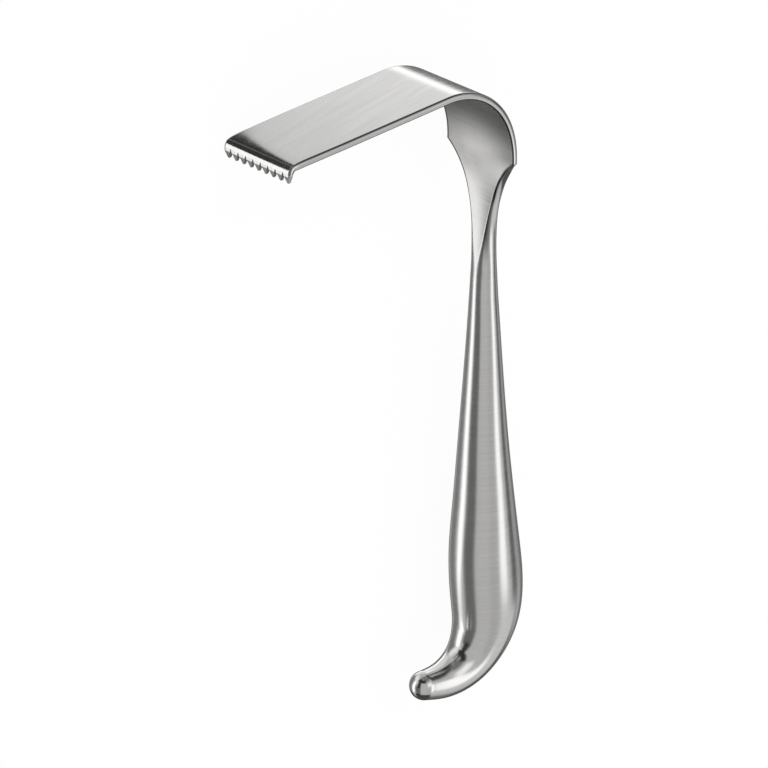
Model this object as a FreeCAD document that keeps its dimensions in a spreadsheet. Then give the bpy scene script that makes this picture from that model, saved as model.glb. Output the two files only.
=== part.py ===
import FreeCAD, Part
import os
import Sketcher
from FreeCAD import Placement, Rotation, Vector

# Handheld surgical retractor: a toothed blade, a bend, a shoulder, a neck and a hooked grip, forged in one piece.
# It is drawn with X along the grip, 0 at the blade's top plane and negative towards the hook,
# with Y from the shoulder's back plane towards the toothed lip, and with Z across the blade, 0 in its middle.
# It is then placed on its side, as it comes to rest, with the origin under the middle of its box.

# Driving sizes, in millimetres and degrees. A step is how far a place lies further down the grip than the one before,
# and a draw-in is how much each side lies further in than the blade's.
sizes = {
    # blade, a flat strip
    "blade_width": 31.3,
    "blade_thickness": 2.5,
    "blade_reach": 106.9,
    "edge_radius": 0.35,
    # lip, rolled down at the blade's end and cut into teeth
    "lip_draw_in": 0.35,
    "lip_taper_length": 26.0,
    "lip_thickness": 1.8,
    "lip_roll_radius": 2.8,
    "lip_inner_radius": 1.5,
    "lip_face_drop": 4.9,
    "tooth_drop": 6.8,
    "tooth_bevel": 0.75,
    "tooth_tip": 1.0,
    "tooth_count": 9,
    "tooth_overrun": 0.15,
    "tooth_flat": 0.2,
    "notch_drop": 2.7,
    # bend and shoulder, where the strip grows thinner and a little narrower
    "bend_radius": 33.3,
    "bend_thickness": 2.0,
    "shoulder_thickness": 1.6,
    "shoulder_draw_in": 0.1,
    "corner_step": 2.1,
    # neck, four-sided: its flat front runs on from the shoulder and its sides sweep in
    "sweep_radius": 51.0,
    "neck_width": 5.6,
    "neck_back_step": 7.6,
    "neck_back": 2.1,
    "neck_front_step": 11.0,
    "neck_front": 2.1,
    "waist_step": 24.0,
    "waist_front": 4.1,
    "waist_back": 4.25,
    "neck_end_step": 22.0,
    "neck_end_front": 4.5,
    "neck_end_back": 4.6,
    # grip, oval sections whose axis lies a little behind the shoulder's back plane
    "root_step": 28.6,
    "root_behind": 0.1,
    "root_depth": 5.2,
    "root_width": 4.8,
    "throat_step": 12.0,
    "throat_behind": 0.2,
    "throat_depth": 7.6,
    "throat_width": 6.0,
    "stem_step": 12.0,
    "stem_behind": 0.25,
    "stem_depth": 9.8,
    "stem_width": 8.5,
    "shank_step": 16.0,
    "shank_behind": 0.25,
    "shank_depth": 12.2,
    "shank_width": 11.0,
    "taper_step": 22.0,
    "taper_behind": 0.25,
    "taper_depth": 15.3,
    "taper_width": 13.7,
    "swell_step": 24.0,
    "swell_behind": 0.45,
    "swell_depth": 19.2,
    "swell_width": 17.0,
    "palm_step": 22.0,
    "palm_behind": 0.9,
    "palm_depth": 23.5,
    "palm_width": 20.7,
    "belly_step": 18.0,
    "belly_behind": 1.55,
    "belly_depth": 26.6,
    "belly_width": 23.6,
    # hook, oval sections along an arc towards the blade's side, with a ball at the end
    "hook_step": 21.75,
    "hook_centre": 19.0,
    "hook_radius": 21.8,
    "hook_sweep": 115.0,
    "heel_depth": 25.8,
    "heel_width": 23.7,
    "turn_depth": 22.0,
    "turn_width": 20.6,
    "beak_depth": 17.3,
    "beak_width": 16.8,
    "finger_depth": 13.2,
    "finger_width": 13.0,
    "ball_diameter": 10.5,
}
grip_sections = ["root", "throat", "stem", "shank", "taper", "swell", "palm", "belly"]
hook_sections = ["heel", "turn", "beak", "finger"]

# Sizes that follow from those. A drop is measured down the grip from the blade's top plane.
tied = {
    "lip_width": "blade_width - 2 * lip_draw_in",
    "tooth_row": "lip_width + 2 * tooth_overrun",
    "bend_inner_radius": "bend_radius - bend_thickness",
    "shoulder_width": "blade_width - 2 * shoulder_draw_in",
    "corner_drop": "bend_radius + corner_step",
    "neck_back_drop": "corner_drop + neck_back_step",
    "neck_front_drop": "neck_back_drop + neck_front_step",
    "waist_drop": "neck_front_drop + waist_step",
    "neck_end_drop": "waist_drop + neck_end_step",
    "root_drop": "corner_drop + root_step",
    "hook_drop": "belly_drop + hook_step",
}
for upper, lower in zip(grip_sections, grip_sections[1:]):
    tied[lower + "_drop"] = "%s_drop + %s_step" % (upper, lower)

document = FreeCAD.newDocument("SurgicalRetractor")
body = document.addObject("PartDesign::Body", "Retractor")
body.Label = "retractor"


def write_sheet():
    sheet = document.addObject("Spreadsheet::Sheet", "Sizes")
    for row, (alias, number) in enumerate(sizes.items(), start=1):
        sheet.set("A%d" % row, alias)
        sheet.set("B%d" % row, str(number))
        sheet.setAlias("B%d" % row, alias)
    document.recompute()


def cells(formula):
    # a formula is written in the names of sizes: a tied one becomes its own formula, and a driving one its cell
    words = []
    for word in formula.replace("(", "( ").replace(")", " )").split():
        if word in tied:
            words.append("( %s )" % cells(tied[word]))
        else:
            words.append("Sizes." + word if word in sizes else word)
    return " ".join(words)


def number(formula):
    return body.evalExpression(cells(formula))


def origin_plane(role):
    return next(feature for feature in body.Origin.OriginFeatures if feature.Role == role)


def new_sketch(name, role, offset="0"):
    # a sketch on one of the body's own planes, moved along the plane's normal
    sketch = body.newObject("Sketcher::SketchObject", name)
    sketch.AttachmentSupport = [(origin_plane(role), "")]
    sketch.MapMode = "FlatFace"
    sketch.setExpression("AttachmentOffset.Base.z", cells(offset))
    return sketch


def bind(sketch, constraint, formula):
    index = sketch.addConstraint(constraint)
    sketch.setExpression("Constraints[%d]" % index, cells(formula))


def fix_point(sketch, edge, point, across, up):
    # ties a point of an edge to two formulas, or to an axis where a formula is 0
    for kind, axis, formula in (("DistanceX", -2, across), ("DistanceY", -1, up)):
        if formula == "0":
            sketch.addConstraint(Sketcher.Constraint("PointOnObject", edge, point, axis))
        else:
            bind(sketch, Sketcher.Constraint(kind, -1, 1, edge, point, number(formula)), formula)


def draw_outline(sketch, corners):
    # a closed outline: each corner has two formulas, and a third entry where an arc leaves it,
    # which holds the arc's centre and the direction that it turns
    count = len(corners)
    points = [Vector(number(corner[0]), number(corner[1]), 0) for corner in corners]
    starts = []
    ends = []
    for index, corner in enumerate(corners):
        start = points[index]
        end = points[(index + 1) % count]
        if len(corner) == 2:
            edge = sketch.addGeometry(Part.LineSegment(start, end), False)
            starts.append((edge, 1))
            ends.append((edge, 2))
            continue
        centre_across, centre_up, turn = corner[2]
        centre = Vector(number(centre_across), number(centre_up), 0)
        circle = Part.Circle(centre, Vector(0, 0, 1), (start - centre).Length)
        first, last = (start, end) if turn == "left" else (end, start)
        edge = sketch.addGeometry(Part.ArcOfCircle(circle, circle.parameter(first), circle.parameter(last)), False)
        starts.append((edge, 1 if turn == "left" else 2))
        ends.append((edge, 2 if turn == "left" else 1))
    for index in range(count):
        sketch.addConstraint(Sketcher.Constraint("Coincident", *ends[index - 1], *starts[index]))
        fix_point(sketch, *starts[index], *corners[index][:2])
    for index, corner in enumerate(corners):
        if len(corner) == 3:
            centre_across = corner[2][0]
            bind(sketch, Sketcher.Constraint("DistanceX", -1, 1, starts[index][0], 3, number(centre_across)),
                 centre_across)


def side_profile():
    # the strip and the neck seen from the side, drawn from the neck's end up the back and along the blade
    return [
        ("- neck_end_drop", "- neck_end_back"),
        ("- waist_drop", "- waist_back"),
        ("- neck_back_drop", "- neck_back"),
        ("- corner_drop", "0"),
        ("- bend_radius", "0", ("- bend_radius", "bend_radius", "left")),
        ("0", "bend_radius"),
        ("0", "blade_reach - lip_roll_radius", ("- lip_roll_radius", "blade_reach - lip_roll_radius", "left")),
        ("- lip_roll_radius", "blade_reach"),
        ("- lip_face_drop", "blade_reach"),
        ("- tooth_drop", "blade_reach - tooth_bevel"),
        ("- tooth_drop", "blade_reach - tooth_bevel - tooth_tip"),
        ("- blade_thickness - lip_inner_radius", "blade_reach - lip_thickness",
         ("- blade_thickness - lip_inner_radius", "blade_reach - lip_thickness - lip_inner_radius", "right")),
        ("- blade_thickness", "blade_reach - lip_thickness - lip_inner_radius"),
        ("- blade_thickness", "shoulder_thickness + bend_inner_radius",
         ("- blade_thickness - bend_inner_radius", "shoulder_thickness + bend_inner_radius", "right")),
        ("- blade_thickness - bend_inner_radius", "shoulder_thickness"),
        ("- neck_front_drop", "neck_front"),
        ("- waist_drop", "waist_front"),
        ("- neck_end_drop", "neck_end_front"),
    ]


def make_strip():
    sketch = new_sketch("SideProfile", "XY_Plane")
    draw_outline(sketch, side_profile())
    pad = body.newObject("PartDesign::Pad", "Strip")
    pad.Profile = sketch
    pad.SideType = "Symmetric"
    pad.setExpression("Length", cells("blade_width"))
    document.recompute()


def cut_both_sides(name, sketch, depth):
    # a cut on the near side, mirrored to the far side
    before = body.Tip.Shape.Volume
    pocket = body.newObject("PartDesign::Pocket", name)
    pocket.Profile = sketch
    pocket.setExpression("Length", cells(depth))
    document.recompute()
    if pocket.Shape.Volume >= before:
        raise RuntimeError(name + " cuts nothing")
    mirror = body.newObject("PartDesign::Mirrored", name + "Mirrored")
    mirror.Originals = [pocket]
    mirror.MirrorPlane = (origin_plane("XY_Plane"), [""])
    body.Tip = mirror
    document.recompute()


def cut_shoulder_sides():
    # from the bend's start the sides draw in to the corner, then sweep in to the neck
    clear = "blade_width / 2 + 2"
    sweep_rise = "( sweep_radius + neck_width / 2 - shoulder_width / 2 )"
    sweep_centre = "- corner_drop - sqrt( sweep_radius ^ 2 - %s ^ 2 )" % sweep_rise
    sketch = new_sketch("ShoulderSide", "XZ_Plane", "neck_end_back + 2")
    draw_outline(sketch, [
        ("- blade_thickness", clear),
        ("- neck_end_drop - 2", clear),
        ("- neck_end_drop - 2", "neck_width / 2"),
        (sweep_centre, "neck_width / 2", (sweep_centre, "neck_width / 2 + sweep_radius", "left")),
        ("- corner_drop", "shoulder_width / 2"),
        ("- blade_thickness", "blade_width / 2"),
    ])
    cut_both_sides("ShoulderSides", sketch, "neck_end_back + 2 + bend_radius")


def cut_blade_sides():
    # the blade draws in a little towards the lip
    sketch = new_sketch("BladeSide", "YZ_Plane", "2")
    draw_outline(sketch, [
        ("blade_reach - lip_taper_length", "blade_width / 2"),
        ("blade_reach + 2", "lip_width / 2"),
        ("blade_reach + 2", "blade_width / 2 + 2"),
        ("blade_reach - lip_taper_length", "blade_width / 2 + 2"),
    ])
    cut_both_sides("BladeSides", sketch, "tooth_drop + 4")


def is_side(face):
    # a side face looks across the blade, and the strip's skins don't
    first_u, last_u, first_v, last_v = face.ParameterRange
    return abs(face.normalAt((first_u + last_u) / 2, (first_v + last_v) / 2).z) > 0.1


def runs_along(shape, edge):
    # true for an edge between a skin and a side, from the neck to the lip's face, short of the teeth
    box = edge.BoundBox
    at_neck_end = box.XMax < number("- neck_end_drop + 1")
    at_teeth = box.XMin < number("- lip_face_drop - 0.1") and box.YMin > number("blade_reach / 2")
    sides = [is_side(face) for face in shape.ancestorsOfType(edge, Part.Face)]
    return not at_neck_end and not at_teeth and sorted(sides) == [False, True]


def round_edges():
    base = body.Tip
    names = []
    for index, edge in enumerate(base.Shape.Edges, start=1):
        if runs_along(base.Shape, edge):
            names.append("Edge%d" % index)
    fillet = body.newObject("PartDesign::Fillet", "RoundedEdges")
    fillet.Base = (base, names)
    fillet.setExpression("Radius", cells("edge_radius"))
    document.recompute()


def oval_sketch(name, along, across, tilt, depth, width):
    # an oval across the grip, centred on its axis; its plane turns with the hook
    sketch = new_sketch(name.capitalize() + "Section", "YZ_Plane", along)
    sketch.AttachmentOffset = Placement(Vector(), Rotation(Vector(0, 1, 0), -number(tilt)))
    sketch.setExpression("AttachmentOffset.Base.x", cells(across))
    sketch.setExpression("AttachmentOffset.Rotation.Angle", cells("- ( %s )" % tilt))
    if depth == width:
        sketch.addGeometry(Part.Circle(Vector(), Vector(0, 0, 1), number(depth) / 2), False)
        sketch.addConstraint(Sketcher.Constraint("Coincident", 0, 3, -1, 1))
        bind(sketch, Sketcher.Constraint("Diameter", 0, number(depth)), depth)
        return sketch
    sketch.addGeometry(Part.Ellipse(Vector(), number(depth) / 2, number(width) / 2), False)
    sketch.exposeInternalGeometry(0)
    sketch.addConstraint(Sketcher.Constraint("Coincident", 0, 3, -1, 1))
    sketch.addConstraint(Sketcher.Constraint("Horizontal", 1))
    bind(sketch, Sketcher.Constraint("Distance", 1, number(depth)), depth)
    bind(sketch, Sketcher.Constraint("Distance", 2, number(width)), width)
    return sketch


def hook_point(turn):
    # a point of the hook's arc, where turn is the angle from straight down the grip
    return "- hook_drop - hook_radius * sin( %s )" % turn, "hook_centre - hook_radius * cos( %s )" % turn


def make_grip():
    # ovals down the grip and round the hook, joined by one smooth skin
    ovals = []
    for name in grip_sections:
        ovals.append(oval_sketch(name, "- %s_drop" % name, "- %s_behind" % name, "0",
                                 name + "_depth", name + "_width"))
    for index, name in enumerate(hook_sections):
        turn = "hook_sweep * %d / %d" % (index, len(hook_sections))
        ovals.append(oval_sketch(name, *hook_point(turn), turn, name + "_depth", name + "_width"))
    ovals.append(oval_sketch("tip", *hook_point("hook_sweep"), "hook_sweep", "ball_diameter", "ball_diameter"))
    loft = body.newObject("PartDesign::AdditiveLoft", "Grip")
    loft.Profile = ovals[0]
    loft.Sections = ovals[1:]
    document.recompute()


def add_ball():
    ball = body.newObject("PartDesign::AdditiveSphere", "Ball")
    ball.AttachmentSupport = [(origin_plane("XY_Plane"), "")]
    ball.MapMode = "FlatFace"
    along, across = hook_point("hook_sweep")
    ball.setExpression("AttachmentOffset.Base.x", cells(along))
    ball.setExpression("AttachmentOffset.Base.y", cells(across))
    ball.setExpression("Radius", cells("ball_diameter / 2"))
    document.recompute()


def cut_notches():
    # notches between the teeth, with half a notch at each side of the lip
    half = "( tooth_row / tooth_count - tooth_flat ) / 2"
    past_tip = "- tooth_drop - 1"
    spread = "%s * ( tooth_drop + 1 - notch_drop ) / ( tooth_drop - notch_drop )" % half
    sketch = new_sketch("Notch", "XZ_Plane", "- blade_reach + lip_thickness + lip_inner_radius")
    draw_outline(sketch, [
        ("- notch_drop", "- tooth_row / 2"),
        (past_tip, "- tooth_row / 2 + " + spread),
        (past_tip, "- tooth_row / 2 - " + spread),
    ])
    before = body.Tip.Shape.Volume
    pocket = body.newObject("PartDesign::Pocket", "Notches")
    pocket.Profile = sketch
    pocket.setExpression("Length", cells("lip_thickness + lip_inner_radius + 1"))
    document.recompute()
    if pocket.Shape.Volume >= before:
        raise RuntimeError("the notch cuts nothing")
    pattern = body.newObject("PartDesign::LinearPattern", "NotchRow")
    pattern.Originals = [pocket]
    pattern.Direction = (sketch, ["V_Axis"])
    pattern.setExpression("Length", cells("tooth_row"))
    pattern.setExpression("Occurrences", cells("tooth_count + 1"))
    body.Tip = pattern
    document.recompute()


def lay_on_side():
    # the blade's lower side edge goes to height 0, and the middle of the box to the origin
    box = body.Shape.optimalBoundingBox(False)
    middle = box.Center
    body.Placement = Placement(Vector(-middle.x, -middle.y, -box.ZMin), Rotation())
    document.recompute()


def check_document():
    for item in document.Objects:
        if "Invalid" in item.State or "Error" in item.State:
            raise RuntimeError("%s failed: %s" % (item.Name, item.State))
    shape = body.Shape
    if shape.isNull() or not shape.isValid() or len(shape.Solids) != 1:
        raise RuntimeError("the retractor is not one valid solid")


write_sheet()
make_strip()
cut_shoulder_sides()
cut_blade_sides()
round_edges()
make_grip()
add_ball()
cut_notches()
lay_on_side()
check_document()
os.makedirs("parts", exist_ok=True)
body.Shape.exportStep("parts/%s.step" % body.Label)
box = body.Shape.optimalBoundingBox(False)
print("box", [round(side, 2) for side in (box.XLength, box.YLength, box.ZLength)])
print("volume", round(body.Shape.Volume, 1), "mm3")
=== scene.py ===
import bmesh
import bpy
import math
from mathutils import Matrix, Vector


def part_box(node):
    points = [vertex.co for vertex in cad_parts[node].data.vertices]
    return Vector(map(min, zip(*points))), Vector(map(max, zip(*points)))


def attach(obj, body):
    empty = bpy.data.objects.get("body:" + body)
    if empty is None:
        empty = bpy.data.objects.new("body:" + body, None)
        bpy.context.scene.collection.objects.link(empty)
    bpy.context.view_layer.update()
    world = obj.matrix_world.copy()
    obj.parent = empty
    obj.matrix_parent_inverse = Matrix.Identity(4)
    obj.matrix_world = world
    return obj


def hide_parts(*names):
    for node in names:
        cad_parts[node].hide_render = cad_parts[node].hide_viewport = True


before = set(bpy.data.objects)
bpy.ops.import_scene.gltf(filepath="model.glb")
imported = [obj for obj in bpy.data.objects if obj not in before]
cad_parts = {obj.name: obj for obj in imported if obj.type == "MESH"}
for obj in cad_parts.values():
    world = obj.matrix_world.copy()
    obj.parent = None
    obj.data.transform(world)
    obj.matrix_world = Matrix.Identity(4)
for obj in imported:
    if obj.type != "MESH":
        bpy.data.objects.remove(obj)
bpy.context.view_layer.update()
print("frame loaded")

mm = 0.001

# the strip is the blade, the lip rolled down at its end, the bend and the shoulder, in millimetres
strip = {
    "bladeHalf": 15.65,     # half of the width
    "lipHalf": 15.3,
    "shoulderHalf": 15.55,
    "reach": 106.9,         # from the shoulder's back to the lip's face
    "bladeThick": 2.5,
    "shoulderThick": 2.2,
    "bendRadius": 33.3,
    "bendInner": 31.3,
    "shoulderEnd": 35.4,
    "shoulderLap": 0.3,     # the strip's first section lies this far above the shoulder's end
    "taperLength": 26.0,    # the blade gets a little narrower over its last stretch
    "edge": 0.65,           # how far the outer and the inner corners are rounded
    "innerEdge": 0.4,
    "edgeShare": 0.35,      # and the most of the thickness that the rounding may take
    "innerEdgeShare": 0.3,
    "crown": 0.08,          # how far the side edges bulge between their rounded corners
    "easeLength": 7.0,      # the blade leans over a little before the lip is rolled down
    "easeTurn": 9.0,
    "easeUnder": 0.3,       # the share of that lean that the underside follows
    "bladeLag": 0.3,        # how far the points of the underside stand back
    "easeLag": 0.4,
    "rollRadius": 2.8,
    "rollInner": 1.5,
    "lipThick": 1.8,
    "faceDrop": 4.1,        # where the lip's face ends and the bevel over the teeth starts
    "faceStep": 0.1,
    "faceBack": 0.03,
    "toothDrop": 6.75,
    "toothBevel": 0.75,
    "toothTip": 1.0,
    "bendSteps": 48,
    "bladeSteps": 24,
    "easeSteps": 8,
    "rollSteps": 14,
}

# the outline is drawn in millimetres: down the grip from the blade's top plane, out from the shoulder's back
# plane towards the lip, and across the blade from its middle; this puts a point of it where the CAD has it
cadLow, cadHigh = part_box("retractor")
topPlane = cadHigh.x / mm
backPlane = cadHigh.y / mm - strip["reach"]
middle = (cadLow.z + cadHigh.z) / 2 / mm


def place(down, out, across):
    return Vector((topPlane - down, backPlane + out, middle + across)) * mm


cameraView = {
    "lens": 332.98,
    "sensor": 36.0,
    "clip": (0.1, 20),
    "turn": 45.37,          # degrees that the blade's width is turned away from the picture's plane
    "tilt": 27.64,          # degrees that the camera looks down along the grip
    "distance": 2.3703,
    "aimRight": -0.03375,   # from the top back corner of the shoulder to the middle of the picture
    "aimUp": -0.11029,
}

turn = math.radians(cameraView["turn"])
tilt = math.radians(cameraView["tilt"])
right = Vector((0, -math.cos(turn), math.sin(turn)))
up = Vector((math.cos(tilt), -math.sin(turn) * math.sin(tilt), -math.cos(turn) * math.sin(tilt)))
toCamera = right.cross(up)
aim = place(0, 0, 0) + right * cameraView["aimRight"] + up * cameraView["aimUp"]
seat = aim + toCamera * cameraView["distance"]
cameraData = bpy.data.cameras.new("camera")
cameraData.lens = cameraView["lens"]
cameraData.sensor_width = cameraView["sensor"]
cameraData.clip_start, cameraData.clip_end = cameraView["clip"]
cameraObject = bpy.data.objects.new("camera", cameraData)
bpy.context.scene.collection.objects.link(cameraObject)
cameraObject.matrix_world = Matrix((
    (right.x, up.x, toCamera.x, seat.x),
    (right.y, up.y, toCamera.y, seat.y),
    (right.z, up.z, toCamera.z, seat.z),
    (0, 0, 0, 1),
))
bpy.context.scene.camera = cameraObject
print("camera placed")

# the neck is an oval rod that the shoulder's flat front cuts into, less and less on its way down
neck = {
    "drops": [35.4, 38, 41, 44, 48, 54, 62, 70, 78, 90],
    # half of the greatest width, and how far behind the rod's axis that width is
    "wide": [15.55, 13.0, 11.0, 9.4, 7.8, 6.1, 4.8, 4.4, 4.5, 5.0],
    "widest": [-0.8, -0.8, -0.7, -0.5, -0.2, 0.05, 0.13, 0.16, 0.14, 0.12],
    # how far the front corners are rounded
    "corner": [0.3, 0.4, 0.5, 0.6, 0.75, 0.9, 1.5, 2.6, 4.3, 5.0],
    "front": [2.2, 2.18, 2.12, 2.05, 1.98, 2.05, 2.5, 3.3, 4.0, 4.77],
    "back": [0.1, 1.7, 2.7, 3.0, 3.25, 3.7, 4.03, 4.06, 4.34, 5.02],
    # how much the flat front leans to one side, and how deep it is ground hollow
    "lean": [0, 0.01, 0.03, 0.05, 0.06, 0.06, 0.06, 0.04, 0, 0],
    "hollow": [0, 0.04, 0.14, 0.25, 0.31, 0.27, 0.16, 0.06, 0, 0],
    # 2 is an oval, more is squarer
    "square": [10, 8, 6.5, 5, 3.6, 2.4, 2, 2, 2, 2],
    "step": 0.9,
    "cornerStep": 0.6,      # the sections stand closer together near the shoulder's corners
    "cornerEnd": 44,
    "lastStep": 0.25,
}

# the grip's axis runs down and then round the hook, with an oval section all the way
grip = {
    "along": [90, 104, 126, 150, 172, 190, 206, 220, 232, 244, 255.5],
    "down": [90, 104, 126, 150, 172, 190, 206, 219.58, 229.45, 233.19, 231.71],
    "behind": [0.12, 0.2, 0.25, 0.45, 0.92, 1.48, 2.51, 0.96, -6.03, -17.3, -28.29],
    "depths": [9.8, 11.4, 14.45, 18.25, 22.29, 25.89, 26.4, 23.15, 18.0, 13.6, 10.5],
    "widths": [10.0, 11.8, 14.6, 18.0, 21.56, 24.0, 24.26, 21.4, 17.1, 13.35, 10.5],
    "step": 1.5,
    "hookStep": 1.05,
    "hookStart": 206,
    "ballSteps": 12,
    "ballPole": 0.02,       # the size of the ball's first ring, as a share of the ball
}

# how the points of a ring of the skin are shared out, in degrees from the middle of the outer face
rings = {
    "points": 96,
    "cornerStart": 37.5,    # the rounded corner of a strip section
    "cornerEnd": 52.5,
    "flatFront": 40,        # what a flat front as wide as the rod would take
    "leanStart": 90,        # where the lean of the neck's front sets in, and where it is full
    "leanEnd": 140,
}


def spline(places, values):
    # a smooth run through a few values: a natural cubic spline
    count = len(places)
    widths = [places[i + 1] - places[i] for i in range(count - 1)]
    slopes = [(values[i + 1] - values[i]) / widths[i] for i in range(count - 1)]
    diagonal = [1.0] + [2 * (widths[i - 1] + widths[i]) for i in range(1, count - 1)] + [1.0]
    bends = [0.0] + [6 * (slopes[i] - slopes[i - 1]) for i in range(1, count - 1)] + [0.0]
    for i in range(2, count - 1):
        share = widths[i - 1] / diagonal[i - 1]
        diagonal[i] -= share * widths[i - 1]
        bends[i] -= share * bends[i - 1]
    curve = [0.0] * count
    for i in range(count - 2, 0, -1):
        curve[i] = (bends[i] - widths[i] * curve[i + 1]) / diagonal[i]

    def at(spot):
        i = 0
        while i < count - 2 and spot > places[i + 1]:
            i += 1
        width = widths[i]
        a = (places[i + 1] - spot) / width
        b = (spot - places[i]) / width
        bend = (a ** 3 - a) * curve[i] + (b ** 3 - b) * curve[i + 1]
        return a * values[i] + b * values[i + 1] + bend * width ** 2 / 6

    return at


def smoothStep(low, high, value):
    t = min(max((value - low) / (high - low), 0), 1)
    return t * t * (3 - 2 * t)


def stripPoint(turned, section):
    # a point of the strip's section: a thin oblong with rounded corners and slightly crowned sides
    start = rings["cornerStart"]
    end = rings["cornerEnd"]
    halfThick = section["halfThick"]
    crown = section["crown"]
    corner = section["corner"] if turned <= 90 else section["innerCorner"]
    folded = min(turned, 180 - turned)
    flat = section["wide"] - crown - corner
    if folded < start:
        side = flat * math.sin(math.radians(90 * folded / start))
        out = halfThick
    elif folded <= end:
        arc = math.radians(90 * (folded - start) / (end - start))
        side = flat + corner * math.sin(arc)
        out = halfThick - corner + corner * math.cos(arc)
    else:
        level = math.sin(math.radians(90 * (90 - folded) / (90 - end)))
        side = section["wide"] - crown * level ** 2
        out = (halfThick - corner) * level
    return side, out if turned <= 90 else -out


def rodPoint(turned, section):
    # a point of the neck's or grip's section: an oval whose front may be flat, with wide round corners
    wide = section["wide"]
    widest = section["widest"]
    if turned <= 90:
        power = 2 / section["square"]
        side = wide * math.sin(math.radians(turned)) ** power
        return side, widest + (section["back"] - widest) * max(math.cos(math.radians(turned)), 0) ** power
    corner = section["corner"]
    rise = section["front"] + widest
    flat = wide - corner
    flatStart = 180 - rings["flatFront"] * (flat / wide) ** 0.5
    if turned <= flatStart:
        angle = math.radians(90 * (flatStart - turned) / (flatStart - 90))
        return flat + corner * math.sin(angle), widest - rise * math.cos(angle)
    share = (180 - turned) / (180 - flatStart)
    return flat * share, widest - rise + section["hollow"] * (1 - share ** 2)


def addRing(bm, layers, station):
    # one ring of the skin: a circle drawn out to the station's section
    ring = bmesh.ops.create_circle(bm, segments=rings["points"], radius=1.0)["verts"]
    section = station["section"]
    for vert in ring:
        turned = math.degrees(math.atan2(abs(vert.co.x), vert.co.y))
        side, out = station["shape"](turned, section)
        side = math.copysign(side, vert.co.x)
        if turned > rings["leanStart"]:
            leaning = smoothStep(rings["leanStart"], rings["leanEnd"], turned)
            out -= section.get("lean", 0) * side * leaning
        down = station["down"] + station["outDown"] * out
        reach = station["reach"] + station["outReach"] * out
        vert.co = place(down, reach, side)
        vert[layers["along"]] = station["along"]
        vert[layers["around"]] = turned / 180
        vert[layers["rim"]] = section["wide"] - abs(side)
    return ring


def stripStation(outer, inner, halfWide, along):
    # a strip section from its outer and inner point, each a drop and a reach
    thick = math.hypot(outer[0] - inner[0], outer[1] - inner[1])
    section = {
        "wide": halfWide,
        "halfThick": thick / 2,
        "corner": min(strip["edge"], thick * strip["edgeShare"]),
        "innerCorner": min(strip["innerEdge"], thick * strip["innerEdgeShare"]),
        "crown": strip["crown"],
    }
    return {
        "shape": stripPoint,
        "section": section,
        "down": (outer[0] + inner[0]) / 2,
        "reach": (outer[1] + inner[1]) / 2,
        "outDown": (outer[0] - inner[0]) / thick,
        "outReach": (outer[1] - inner[1]) / thick,
        "along": along,
    }


def ovalSection(halfWide, halfDeep):
    return {"wide": halfWide, "back": halfDeep, "front": halfDeep, "widest": 0,
            "square": 2, "corner": halfWide, "hollow": 0}


def gripStations():
    # from the ball's pole up to the neck's lower end
    stations = []
    down = spline(grip["along"], grip["down"])
    behind = spline(grip["along"], grip["behind"])
    depth = spline(grip["along"], grip["depths"])
    width = spline(grip["along"], grip["widths"])
    end = grip["along"][-1]
    ball = grip["depths"][-1] / 2

    def axisStation(along, push, halfWide, halfDeep):
        # the axis point, pushed on past the end for the ball, and the section square to the axis
        near = 0.01
        stepDown = down(along + near) - down(along - near)
        stepBack = behind(along + near) - behind(along - near)
        length = math.hypot(stepDown, stepBack)
        stepDown /= length
        stepBack /= length
        return {
            "shape": rodPoint,
            "section": ovalSection(halfWide, halfDeep),
            "down": down(along) + stepDown * push,
            "reach": -behind(along) - stepBack * push,
            "outDown": -stepBack,
            "outReach": -stepDown,
            "along": -along - push,
        }

    for i in range(grip["ballSteps"]):
        angle = math.radians(90 * (1 - i / grip["ballSteps"]))
        size = max(math.cos(angle), grip["ballPole"]) * ball
        stations.append(axisStation(end, math.sin(angle) * ball, size, size))
    along = end
    while along > neck["drops"][-1] + grip["step"] / 2:
        stations.append(axisStation(along, 0, width(along) / 2, depth(along) / 2))
        along -= grip["step"] if along < grip["hookStart"] else grip["hookStep"]
    return stations


def neckStations():
    # from the grip's upper end to the shoulder's corners
    shapes = ("wide", "corner", "front", "back", "widest", "square", "lean", "hollow")
    profiles = {name: spline(neck["drops"], neck[name]) for name in shapes}
    shoulder = neck["drops"][0]
    drop = neck["drops"][-1]
    drops = []
    while drop > shoulder + 2 * neck["lastStep"]:
        drops.append(drop)
        drop -= neck["step"] if drop > neck["cornerEnd"] else neck["cornerStep"]
    stations = []
    for drop in drops + [shoulder + neck["lastStep"], shoulder]:
        section = {name: profiles[name](drop) for name in shapes}
        section["square"] = max(section["square"], 2)
        section["corner"] = min(section["corner"], section["wide"])
        section["hollow"] = max(section["hollow"], 0)
        stations.append({"shape": rodPoint, "section": section, "down": drop, "reach": 0,
                         "outDown": 0, "outReach": -1, "along": -drop})
    return stations


def halfAt(reach):
    # half of the blade's width, which shrinks a little towards the lip
    past = max(reach - strip["reach"] + strip["taperLength"], 0)
    return strip["bladeHalf"] - (strip["bladeHalf"] - strip["lipHalf"]) * past / strip["taperLength"]


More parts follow.
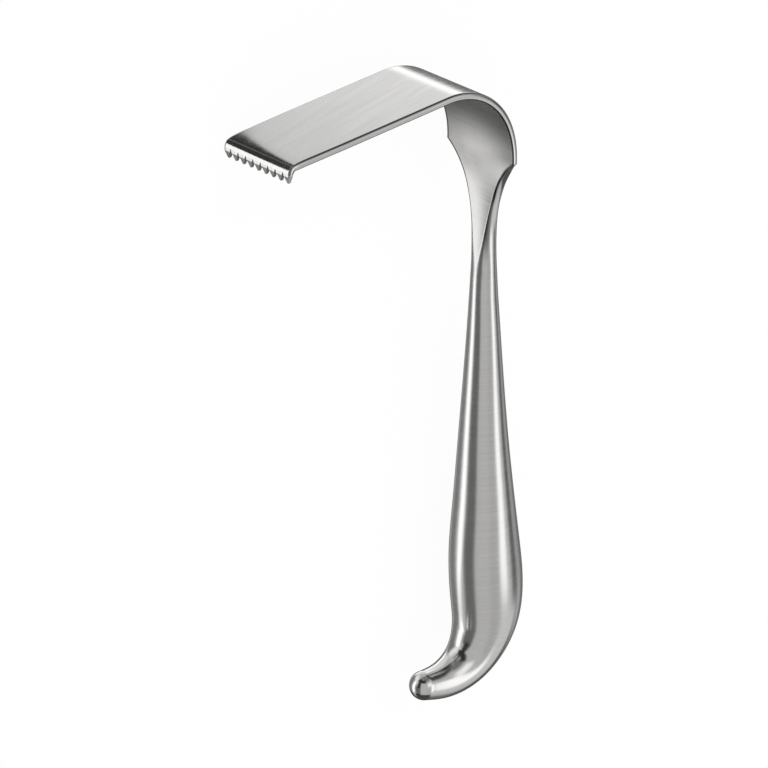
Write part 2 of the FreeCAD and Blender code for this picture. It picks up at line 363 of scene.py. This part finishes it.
def bendStations():
    # the shoulder's end and the quarter turn up to the blade
    radius = strip["bendRadius"]
    inner = strip["bendInner"]
    innerDrop = strip["bladeThick"] + inner
    innerReach = strip["shoulderThick"] + inner
    start = strip["shoulderEnd"] - strip["shoulderLap"]
    stations = [stripStation((start, 0), (start, strip["shoulderThick"]), strip["shoulderHalf"], -start)]
    for i in range(strip["bendSteps"] + 1):
        share = i / strip["bendSteps"]
        angle = math.radians(90 * share)
        outerPoint = (radius - radius * math.sin(angle), radius - radius * math.cos(angle))
        innerPoint = (innerDrop - inner * math.sin(angle), innerReach - inner * math.cos(angle))
        half = strip["shoulderHalf"] + (strip["bladeHalf"] - strip["shoulderHalf"]) * share
        stations.append(stripStation(outerPoint, innerPoint, half, radius * (angle - 1)))
    return stations


def bladeStations():
    # the blade, flat and then leaning over, and the lip rolled down from it, with the bevel over the teeth
    stations = []
    radius = strip["bendRadius"]
    roll = strip["rollRadius"]
    easeTurn = math.radians(strip["easeTurn"])
    easeStart = strip["reach"] - roll * (1 - math.sin(easeTurn)) - strip["easeLength"]
    along = radius * (math.pi / 2 - 1)
    for i in range(1, strip["bladeSteps"] + 1):
        reach = radius + (easeStart - radius) * i / strip["bladeSteps"]
        innerPoint = (strip["bladeThick"], reach - strip["bladeLag"])
        stations.append(stripStation((0, reach), innerPoint, halfAt(reach), along + reach - radius))
    along += easeStart - radius
    drop = 0
    step = strip["easeLength"] / strip["easeSteps"]
    for i in range(1, strip["easeSteps"]):
        angle = easeTurn * ((i - 0.5) / strip["easeSteps"]) ** 2
        drop += step * math.sin(angle)
        reach += step * math.cos(angle)
        innerPoint = (strip["bladeThick"] + drop * strip["easeUnder"], reach - strip["easeLag"])
        stations.append(stripStation((drop, reach), innerPoint, halfAt(reach), along + step * i))
    along += strip["easeLength"]
    angle = easeTurn * (1 - 0.5 / strip["easeSteps"]) ** 2
    rollDrop = drop + step * math.sin(angle)
    small = strip["rollInner"]
    smallDrop = strip["bladeThick"] + small
    smallReach = strip["reach"] - strip["lipThick"] - small
    for i in range(strip["rollSteps"] + 1):
        angle = easeTurn + (math.pi / 2 - easeTurn) * i / strip["rollSteps"]
        innerAngle = math.radians(90 * i / strip["rollSteps"])
        outerPoint = (rollDrop + roll * (math.cos(easeTurn) - math.cos(angle)),
                      strip["reach"] - roll * (1 - math.sin(angle)))
        innerPoint = (smallDrop - small * math.cos(innerAngle), smallReach + small * math.sin(innerAngle))
        rolled = roll * (angle - easeTurn)
        stations.append(stripStation(outerPoint, innerPoint, strip["lipHalf"], along + rolled))
    along += rolled
    rollEnd = rollDrop + roll * math.cos(easeTurn)
    face = strip["reach"]
    inside = face - strip["lipThick"]
    faceDrop = strip["faceDrop"]
    faceStep = strip["faceStep"]
    tip = strip["toothDrop"]
    tipReach = face - strip["toothBevel"]
    for outerPoint, innerPoint in (
        ((faceDrop - faceStep, face), (faceDrop, inside)),
        ((faceDrop + faceStep, face - strip["faceBack"]), (faceDrop + 2 * faceStep, inside)),
        ((tip, tipReach), (tip, tipReach - strip["toothTip"])),
    ):
        rolled = outerPoint[0] - rollEnd
        stations.append(stripStation(outerPoint, innerPoint, strip["lipHalf"], along + rolled))
    return stations


def buildSkin():
    # rings from the ball's pole to the tips of the teeth, joined into one closed skin
    bm = bmesh.new()
    layers = {name: bm.verts.layers.float.new(name) for name in ("along", "around", "rim")}
    stations = gripStations() + neckStations() + bendStations() + bladeStations()
    skinRings = [addRing(bm, layers, station) for station in stations]
    edges = []
    for ring in skinRings:
        members = set(ring)
        touching = {edge for vert in ring for edge in vert.link_edges}
        edges.append([edge for edge in touching if set(edge.verts) <= members])
    for first, second in zip(edges, edges[1:]):
        bmesh.ops.bridge_loops(bm, edges=first + second)
    pole = sum((vert.co for vert in skinRings[0]), Vector()) / len(skinRings[0])
    bmesh.ops.pointmerge(bm, verts=skinRings[0], merge_co=pole)
    bmesh.ops.contextual_create(bm, geom=edges[-1])
    bmesh.ops.recalc_face_normals(bm, faces=bm.faces)
    mesh = bpy.data.meshes.new("retractor skin")
    bm.to_mesh(mesh)
    bm.free()
    return mesh


skinMesh = buildSkin()
skin = bpy.data.objects.new("retractorSkin", skinMesh)
bpy.context.scene.collection.objects.link(skin)
print("skin", len(skinMesh.vertices), "points")

teeth = {
    "count": 9,
    "row": 30.9,            # the width that the row of teeth takes
    "notchDrop": 2.64,
    "flat": 0.55,           # the width of a tooth's tip
    "cutPast": 1.0,         # how far the cutting prisms go past the tips, and how long they are
    "cutLength": 5.0,
    "sideMargin": 0.5,      # a notch wall is at least this far in from the lip's sides
    "sharpFrom": 32,        # edges that turn more than these degrees are drawn sharp
    "near": 0.02,           # points of the bevel's top edge lie this close to it
    "joined": 0.001,        # points closer together than this become one
}


def cutNotches(piece):
    # V-shaped prisms through the lip, one for each gap between the teeth and half a gap at each side
    pitch = teeth["row"] / teeth["count"]
    depth = strip["toothDrop"] - teeth["notchDrop"]
    low = strip["toothDrop"] + teeth["cutPast"]
    half = (pitch - teeth["flat"]) / 2 * (depth + teeth["cutPast"]) / depth
    near = strip["reach"] - strip["lipThick"] - strip["rollInner"]
    bm = bmesh.new()
    for i in range(teeth["count"] + 1):
        across = -teeth["row"] / 2 + pitch * i
        points = ((teeth["notchDrop"], across), (low, across + half), (low, across - half))
        face = bm.faces.new([bm.verts.new(place(drop, near, side)) for drop, side in points])
        extruded = bmesh.ops.extrude_face_region(bm, geom=[face])["geom"]
        moved = [item for item in extruded if isinstance(item, bmesh.types.BMVert)]
        bmesh.ops.translate(bm, verts=moved, vec=Vector((0, teeth["cutLength"], 0)) * mm)
    bmesh.ops.recalc_face_normals(bm, faces=bm.faces)
    mesh = bpy.data.meshes.new("notches")
    bm.to_mesh(mesh)
    bm.free()
    cutter = bpy.data.objects.new("notches", mesh)
    bpy.context.scene.collection.objects.link(cutter)
    cut = piece.modifiers.new("notches", "BOOLEAN")
    cut.operation = "DIFFERENCE"
    cut.object = cutter
    cut.solver = "EXACT"
    graph = bpy.context.evaluated_depsgraph_get()
    finished = bpy.data.meshes.new_from_object(piece.evaluated_get(graph))
    piece.modifiers.clear()
    piece.data = finished
    bpy.data.objects.remove(cutter)


def sharpen(piece):
    # smooth shading with sharp edges, also along the bevel's top, and a mark on the walls of the notches
    bm = bmesh.new()
    bm.from_mesh(piece.data)
    bmesh.ops.remove_doubles(bm, verts=bm.verts, dist=teeth["joined"] * mm)
    notch = bm.faces.layers.float.new("notch")
    bevelTop = place(strip["faceDrop"] + strip["faceStep"], 0, 0).x
    lipInside = place(0, strip["reach"] - strip["lipThick"] - strip["faceStep"], 0).y
    wallHalf = strip["lipHalf"] - teeth["sideMargin"]
    for face in bm.faces:
        face.smooth = True
        spot = face.calc_center_median()
        inLip = spot.y > lipInside and abs(spot.z / mm - middle) < wallHalf
        if inLip and abs(face.normal.z) > 0.5:
            face[notch] = 1.0
    for edge in bm.edges:
        if len(edge.link_faces) == 2:
            spots = [vert.co for vert in edge.verts]
            onTop = all(abs(spot.x - bevelTop) < teeth["near"] * mm for spot in spots)
            onBevel = onTop and all(spot.y > lipInside for spot in spots)
            edge.smooth = edge.calc_face_angle(0) < math.radians(teeth["sharpFrom"]) and not onBevel
    bm.to_mesh(piece.data)
    bm.free()


cutNotches(skin)
sharpen(skin)
print("teeth cut,", len(skin.data.polygons), "faces")

# a zone of the steel is a product of windows, and each window eases from 0 to 1 between its two numbers;
# along runs in millimetres from the hook to the lip, across from the blade's middle, rim inwards from the
# side edges, and around from 0 in the middle of the outer face to 1 in the middle of the inner one
steelZones = {
    "hook": [("along", -196, -214)],
    "bendAndShoulder": [("along", -52, -36)],
    "blade": [("along", 14, 22)],
    "lip": [("along", 84, 92)],
    "top": [("around", 0.22, 0.2), ("along", -36, -30)],
    "inside": [("around", 0.775, 0.795), ("along", -92, -66)],
    "bendInside": [("around", 0.77, 0.79), ("along", -40, -33)],
    "edges": [("around", 0.2, 0.22), ("around", 0.795, 0.775), ("along", -78, -62)],
    "outerCorner": [("around", 0.195, 0.22), ("around", 0.33, 0.26), ("along", -37, -34)],
    "sideEdge": [("around", 0.25, 0.28), ("around", 0.73, 0.7), ("along", -36, -34)],
    "innerCorner": [("around", 0.58, 0.68), ("around", 0.79, 0.775), ("along", -80, -64)],
    "cornerLine": [("around", 0.66, 0.73), ("around", 0.8, 0.785), ("along", -74, -62)],
    "farEdge": [("rim", 1.25, 0.7), ("around", 0.6, 0.7), ("across", 0, -1), ("along", -72, -60)],
    "topFarEdge": [("rim", 0.9, 0.4), ("around", 0.22, 0.2), ("across", 0, -1), ("along", 6, 20)],
    "notchWall": [("notch", 0, 1)],
}

# the steel's colour, roughness and brushing, and the painted shade and painted highlight laid into its
# colour
steelFinishAndPaintedShade = {
    "colour": (0.625, 0.62, 0.612),
    "gripRough": 0.2,
    "hookRough": 0.17,
    "neckRough": 0.27,      # the flat front of the neck
    "insideRough": 0.42,    # the shoulder's and the bend's inner face
    "topRough": 0.21,
    "lipRough": 0.14,
    "edgeRough": 0.12,      # the edges are polished
    "streakWander": 0.56,   # how far the roughness wanders with the brushing, and with wide soft clouds
    "cloudWander": 0.28,
    "bump": 0.12,
    "bumpDepth": 0.000006,
    "lean": 9.0,            # degrees between the blade's streaks and its length
    # streaks to a millimetre along and across the steel, then the noise's detail and seed
    "lengthStreaks": (0.028, 0.48, 2, 0.3),
    "crossStreaks": (1.2, 0.04, 3, 4.7),
    "clouds": (0.11, 0.16, 2, 8.1),
    "noiseRough": 0.6,      # how strong the finer levels of that noise are
    # how much the brushing lightens and darkens the colour, outside and inside
    "tint": (0.18, 0.34),
    # how much of the colour is left in a zone: painted shade and painted highlight
    "shades": {
        "inside": 0.84,     # painted shade: the inner face's colour is a little darker
        # painted reflection: a dark line along the strip's outer corner
        "outerCorner": 0.4,
        "sideEdge": 1.22,   # painted highlight: the strip's sides are lighter
        # painted reflections: dark lines along the inner corners, the neck's crease and the far edges
        "innerCorner": 0.4,
        "cornerLine": 0.3,
        "farEdge": 0.24,
        "topFarEdge": 0.32,
        # painted shade: the notch walls are darker
        "notchWall": 0.3,
    },
    # painted shade and painted highlight along the steel: between two places it goes from one share to the
    # other
    "ramps": [
        (10, 95, 1.06, 0.86),    # painted shade: the blade's top is a little lighter near the bend and darker towards the lip
        (95, 95.3, 1, 0.17),     # painted shade: the bevel over the teeth is darkened
        (95.4, 97.2, 1, 2.6),    # painted highlight: their tips are lightened again
    ],
    # painted shade across the bend's inner face, darker towards both sides, where the shade to the right
    # fades towards the blade
    "bendLeft": (-16, -3, 0.72, 1),
    "bendRight": (-1, 16, 1, 0.5),
    "bendRightFade": (-26, -10, 1, 0.3),
}

steel = bpy.data.materials.new("satin steel")
steel.use_nodes = True
tree = steel.node_tree  # the helpers below add their nodes to whichever tree this name holds
shader = tree.nodes["Principled BSDF"]
shader.inputs["Metallic"].default_value = 1


def feed(sockets, values):
    # a number is set on its socket, and an output is linked to it
    for socket, value in zip(sockets, values):
        if isinstance(value, (int, float)):
            socket.default_value = value
        else:
            tree.links.new(value, socket)


def calc(operation, *values):
    node = tree.nodes.new("ShaderNodeMath")
    node.operation = operation
    feed(node.inputs, values)
    return node.outputs[0]


def ease(value, low, high, start=0, end=1):
    # eases from start to end while the value goes from low to high
    node = tree.nodes.new("ShaderNodeMapRange")
    node.interpolation_type = "SMOOTHSTEP"
    names = ("Value", "From Min", "From Max", "To Min", "To Max")
    feed([node.inputs[name] for name in names], (value, low, high, start, end))
    return node.outputs["Result"]


def blend(share, first, second):
    node = tree.nodes.new("ShaderNodeMix")
    feed((node.inputs[0], node.inputs[2], node.inputs[3]), (share, first, second))
    return node.outputs[0]


def readMeasure(name):
    node = tree.nodes.new("ShaderNodeAttribute")
    node.attribute_name = name
    return node.outputs["Fac"]


def readSpot():
    # the three coordinates on the object, in metres
    node = tree.nodes.new("ShaderNodeSeparateXYZ")
    tree.links.new(tree.nodes.new("ShaderNodeTexCoord").outputs["Object"], node.inputs[0])
    return node.outputs


def brushing(along, across, alongScale, acrossScale, detail, seed):
    # fine brushing: noise drawn out one way and packed close the other way
    joined = tree.nodes.new("ShaderNodeCombineXYZ")
    feed(joined.inputs, (calc("MULTIPLY", along, alongScale), calc("MULTIPLY", across, acrossScale), seed))
    noise = tree.nodes.new("ShaderNodeTexNoise")
    noise.inputs["Scale"].default_value = 1
    noise.inputs["Detail"].default_value = detail
    noise.inputs["Roughness"].default_value = steelFinishAndPaintedShade["noiseRough"]
    tree.links.new(joined.outputs[0], noise.inputs["Vector"])
    return noise.outputs["Fac"]


def zoneShare(windows):
    share = 1
    for measure, zeroAt, oneAt in windows:
        share = calc("MULTIPLY", share, ease(measures[measure], zeroAt, oneAt))
    return share


def shadeAcross(ramp, share):
    # a shade that changes across the steel, and counts as much as the share says
    change = calc("SUBTRACT", ease(measures["across"], *ramp), 1)
    return calc("MULTIPLY_ADD", change, share, 1)


measures = {name: readMeasure(name) for name in ("along", "around", "rim", "notch")}
measures["across"] = calc("MULTIPLY_ADD", readSpot()["Z"], 1 / mm, -middle)
zones = {name: zoneShare(windows) for name, windows in steelZones.items()}

along = measures["along"]
across = measures["across"]
lean = math.radians(steelFinishAndPaintedShade["lean"])
leanAlong = calc("MULTIPLY_ADD", across, math.sin(lean), calc("MULTIPLY", along, math.cos(lean)))
leanAcross = calc("MULTIPLY_ADD", along, -math.sin(lean), calc("MULTIPLY", across, math.cos(lean)))
lengthStreaks = brushing(leanAlong, leanAcross, *steelFinishAndPaintedShade["lengthStreaks"])
crossStreaks = brushing(along, across, *steelFinishAndPaintedShade["crossStreaks"])
clouds = brushing(along, across, *steelFinishAndPaintedShade["clouds"])
streaks = blend(calc("MAXIMUM", zones["blade"], zones["top"]), crossStreaks, lengthStreaks)
streaks = calc("SUBTRACT", streaks, 0.5)
clouds = calc("SUBTRACT", clouds, 0.5)

rough = blend(zones["hook"], steelFinishAndPaintedShade["gripRough"], steelFinishAndPaintedShade["hookRough"])
insideRough = blend(zones["bendAndShoulder"], steelFinishAndPaintedShade["neckRough"], steelFinishAndPaintedShade["insideRough"])
rough = blend(zones["inside"], rough, insideRough)
rough = blend(zones["top"], rough, steelFinishAndPaintedShade["topRough"])
rough = blend(zones["lip"], rough, steelFinishAndPaintedShade["lipRough"])
rough = blend(zones["edges"], rough, steelFinishAndPaintedShade["edgeRough"])
wander = calc("MULTIPLY_ADD", streaks, steelFinishAndPaintedShade["streakWander"], 1)
wander = calc("MULTIPLY_ADD", clouds, steelFinishAndPaintedShade["cloudWander"], wander)
tree.links.new(calc("MULTIPLY", rough, wander), shader.inputs["Roughness"])

# painted shade and painted highlight: the zones' shades and the ramps darken or lighten the colour
fade = calc("MULTIPLY", zones["bendInside"], ease(along, *steelFinishAndPaintedShade["bendRightFade"]))
shade = shadeAcross(steelFinishAndPaintedShade["bendRight"], fade)
shade = calc("MULTIPLY", shade, shadeAcross(steelFinishAndPaintedShade["bendLeft"], zones["bendInside"]))
for name, left in steelFinishAndPaintedShade["shades"].items():
    shade = calc("MULTIPLY", shade, ease(zones[name], 0, 1, 1, left))
for ramp in steelFinishAndPaintedShade["ramps"]:
    shade = calc("MULTIPLY", shade, ease(along, *ramp))
tint = calc("MULTIPLY_ADD", streaks, ease(zones["inside"], 0, 1, *steelFinishAndPaintedShade["tint"]), 1)
tint = calc("MULTIPLY", tint, shade)
colour = tree.nodes.new("ShaderNodeCombineColor")
feed(colour.inputs, [calc("MULTIPLY", tint, level) for level in steelFinishAndPaintedShade["colour"]])
tree.links.new(colour.outputs[0], shader.inputs["Base Color"])

bump = tree.nodes.new("ShaderNodeBump")
bump.inputs["Strength"].default_value = steelFinishAndPaintedShade["bump"]
bump.inputs["Distance"].default_value = steelFinishAndPaintedShade["bumpDepth"]
tree.links.new(streaks, bump.inputs["Height"])
tree.links.new(bump.outputs[0], shader.inputs["Normal"])

skin.data.materials.clear()
skin.data.materials.append(steel)
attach(skin, "root")
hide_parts("retractor")
print("steel ready")


def newPaint(name):
    # an empty material of the studio, and its output's socket
    paint = bpy.data.materials.new(name)
    paint.use_nodes = True
    paint.node_tree.nodes.clear()
    output = paint.node_tree.nodes.new("ShaderNodeOutputMaterial")
    return paint, output.inputs["Surface"]


def addStageSheet(name, corners, material):
    # a flat sheet of the studio, which isn't part of the object
    (lowX, lowY), (highX, highY), height = corners
    bm = bmesh.new()
    bmesh.ops.create_grid(bm, x_segments=1, y_segments=1, size=0.5)
    bmesh.ops.scale(bm, verts=bm.verts, vec=(highX - lowX, highY - lowY, 1))
    bmesh.ops.translate(bm, verts=bm.verts, vec=((lowX + highX) / 2, (lowY + highY) / 2, height))
    mesh = bpy.data.meshes.new(name)
    bm.to_mesh(mesh)
    bm.free()
    sheet = bpy.data.objects.new(name, mesh)
    bpy.context.scene.collection.objects.link(sheet)
    sheet.data.materials.append(material)
    return sheet


floorLook = {
    "corners": ((-3, -3), (3, 3), 0),
    "colour": (0.95, 0.95, 0.95, 1),
    "ownWhite": 0.95,       # share of plain white that the camera sees, so that the shadow stays faint
}

floorPaint, surface = newPaint("floor")
tree = floorPaint.node_tree
dull = tree.nodes.new("ShaderNodeBsdfDiffuse")
dull.inputs["Color"].default_value = floorLook["colour"]
white = tree.nodes.new("ShaderNodeEmission")
path = tree.nodes.new("ShaderNodeLightPath")
seen = calc("MAXIMUM", path.outputs["Is Camera Ray"], path.outputs["Is Glossy Ray"])
seen = calc("MAXIMUM", seen, path.outputs["Is Transmission Ray"])
mix = tree.nodes.new("ShaderNodeMixShader")
feed(mix.inputs, (calc("MULTIPLY", seen, floorLook["ownWhite"]), dull.outputs[0], white.outputs[0]))
tree.links.new(mix.outputs[0], surface)
floor = addStageSheet("floor", floorLook["corners"], floorPaint)
floor.visible_glossy = False  # the steel sees the studio's panels and flags through it
print("floor laid")

# a small black flag close under the lip, which only reflections see, with a faint streak of light down it
lipFlagLook = {
    "corners": ((0.154, -0.006), (0.25, 0.165), -0.06),
    "level": 0.055,
    "streak": 0.16,
    "streakAt": 0.05,
    "streakWide": 0.022,
}

lipFlagPaint, surface = newPaint("lip flag")
tree = lipFlagPaint.node_tree
away = calc("ABSOLUTE", calc("SUBTRACT", readSpot()["Y"], lipFlagLook["streakAt"]))
streak = ease(away, 0, lipFlagLook["streakWide"], lipFlagLook["streak"], 0)
glow = tree.nodes.new("ShaderNodeEmission")
tree.links.new(calc("ADD", streak, lipFlagLook["level"]), glow.inputs["Strength"])
tree.links.new(glow.outputs[0], surface)
lipFlag = addStageSheet("lipFlag", lipFlagLook["corners"], lipFlagPaint)
lipFlag.visible_camera = False
lipFlag.visible_diffuse = False
lipFlag.visible_shadow = False
lipFlag.visible_transmission = False
print("lip flag set")

# tall light panels and black flags stand round the grip; turn is the bearing about the grip, 0 towards the
# camera and growing to the picture's right, and rise is the angle up towards the blade's end
studio = {
    "level": 0.62,
    "plain": 1.05,          # what everything but reflections sees
    "cards": [
        # name, turn, half width, softness, lean, lowest rise, highest rise, softness, level
        ("low", 0, 400, 10, 0, -95, -60, 12, 0.3),
        ("left key", -85, 10, 9, 0, -24, 30, 12, 1.8),
        ("left key foot", -60, 9, 9, 0.9, -37, -20, 14, 1.75),
        ("left key head", -104, 34, 20, 0, 28, 56, 18, 1.1),
        ("left flag", -46, 20, 12, 0, -40, 8, 8, 0.17),
        ("left flag foot", 0, 24, 12, 1.2, -66, -40, 6, 0.03),
        ("left flag head", -42, 14, 14, 0, 2, 78, 12, 0.02),
        ("front shade", 38, 14, 20, 0, -46, -14, 16, 0.54),
        ("low front", 5, 66, 14, 0, -76, -50, 6, 0.06),
        ("right shade", 108, 20, 14, 0, -48, -30, 10, 0.42),
        ("right foot", 88, 26, 14, 0, -49, -32, 10, 0.75),
        ("right low flag", 136, 18, 10, 0, -62, -40, 10, 0.1),
        ("right panel", 70, 11, 11, 0.1, -32, 14, 12, 1.5),
        ("right panel head", 50, 18, 16, 0, 10, 36, 16, 1.25),
        ("right flag", 106, 11, 10, 0, -32, -8, 6, 0.13),
        ("right flag head", 122, 32, 16, 0, 25, 76, 14, 0.05),
        ("right flag neck", 128, 14, 12, 0, 4, 30, 14, 0.08),
        ("right edge", 128, 9, 10, 0, -30, 4, 12, 0.4),
        ("right rim", 152, 15, 10, 0, -40, -10, 10, 0.2),
        ("back panel", -172, 28, 14, 0, 18, 50, 10, 0.95),
        ("back glow", -174, 30, 14, 0, 7, 18, 5, 1.75),
        ("back strip", 163, 8, 8, 0, -4, 34, 10, 1.6),
        ("left rim flag", -126, 20, 14, 0, -36, 28, 12, 0.25),
        ("low left flag", -158, 50, 16, 0, -74, -35, 10, 0.09),
        ("rim", 180, 24, 12, 0, -36, 5, 5, 0.16),
        ("top", 40, 50, 24, 0, 50, 95, 16, 0.22),
        ("bottom", 0, 400, 10, 0, -95, -65, 10, 0.08),
        ("ball flag", -26, 50, 12, 0, 42, 66, 8, 0.03),
    ],
}

world = bpy.data.worlds.new("studio")
bpy.context.scene.world = world
world.use_nodes = True
world.cycles.sampling_method = "NONE"
tree = world.node_tree
tree.nodes.clear()
direction = tree.nodes.new("ShaderNodeTexCoord").outputs["Generated"]


def towards(axis):
    node = tree.nodes.new("ShaderNodeVectorMath")
    node.operation = "DOT_PRODUCT"
    tree.links.new(direction, node.inputs[0])
    node.inputs[1].default_value = axis
    return node.outputs["Value"]


def within(value, half, soft):
    # 1 where the value is within half of 0 either way, with a soft edge
    return ease(calc("ABSOLUTE", value), half - soft / 2, half + soft / 2, 1, 0)


facing = toCamera * math.cos(tilt) - up * math.sin(tilt)
bearing = calc("DEGREES", calc("ARCTAN2", towards(right), towards(facing)))
height = calc("DEGREES", calc("ARCSINE", towards(Vector((1, 0, 0)))))
level = studio["level"]
for name, turned, half, soft, lean, low, high, softRise, cardLevel in studio["cards"]:
    offset = calc("SUBTRACT", bearing, calc("MULTIPLY_ADD", height, lean, turned))
    sideways = within(calc("WRAP", offset, 180, -180), half, soft)
    upright = within(calc("SUBTRACT", height, (low + high) / 2), (high - low) / 2, softRise)
    inCard = calc("MULTIPLY", sideways, upright)
    level = calc("MULTIPLY_ADD", inCard, calc("SUBTRACT", cardLevel, level), level)

glossy = tree.nodes.new("ShaderNodeLightPath").outputs["Is Glossy Ray"]
strength = calc("MULTIPLY_ADD", glossy, calc("SUBTRACT", level, studio["plain"]), studio["plain"])
background = tree.nodes.new("ShaderNodeBackground")
background.inputs["Color"].default_value = (1, 1, 1, 1)
tree.links.new(strength, background.inputs["Strength"])
output = tree.nodes.new("ShaderNodeOutputWorld")
tree.links.new(background.outputs[0], output.inputs["Surface"])
print("studio lit")

bpy.context.scene.view_settings.view_transform = "Standard"
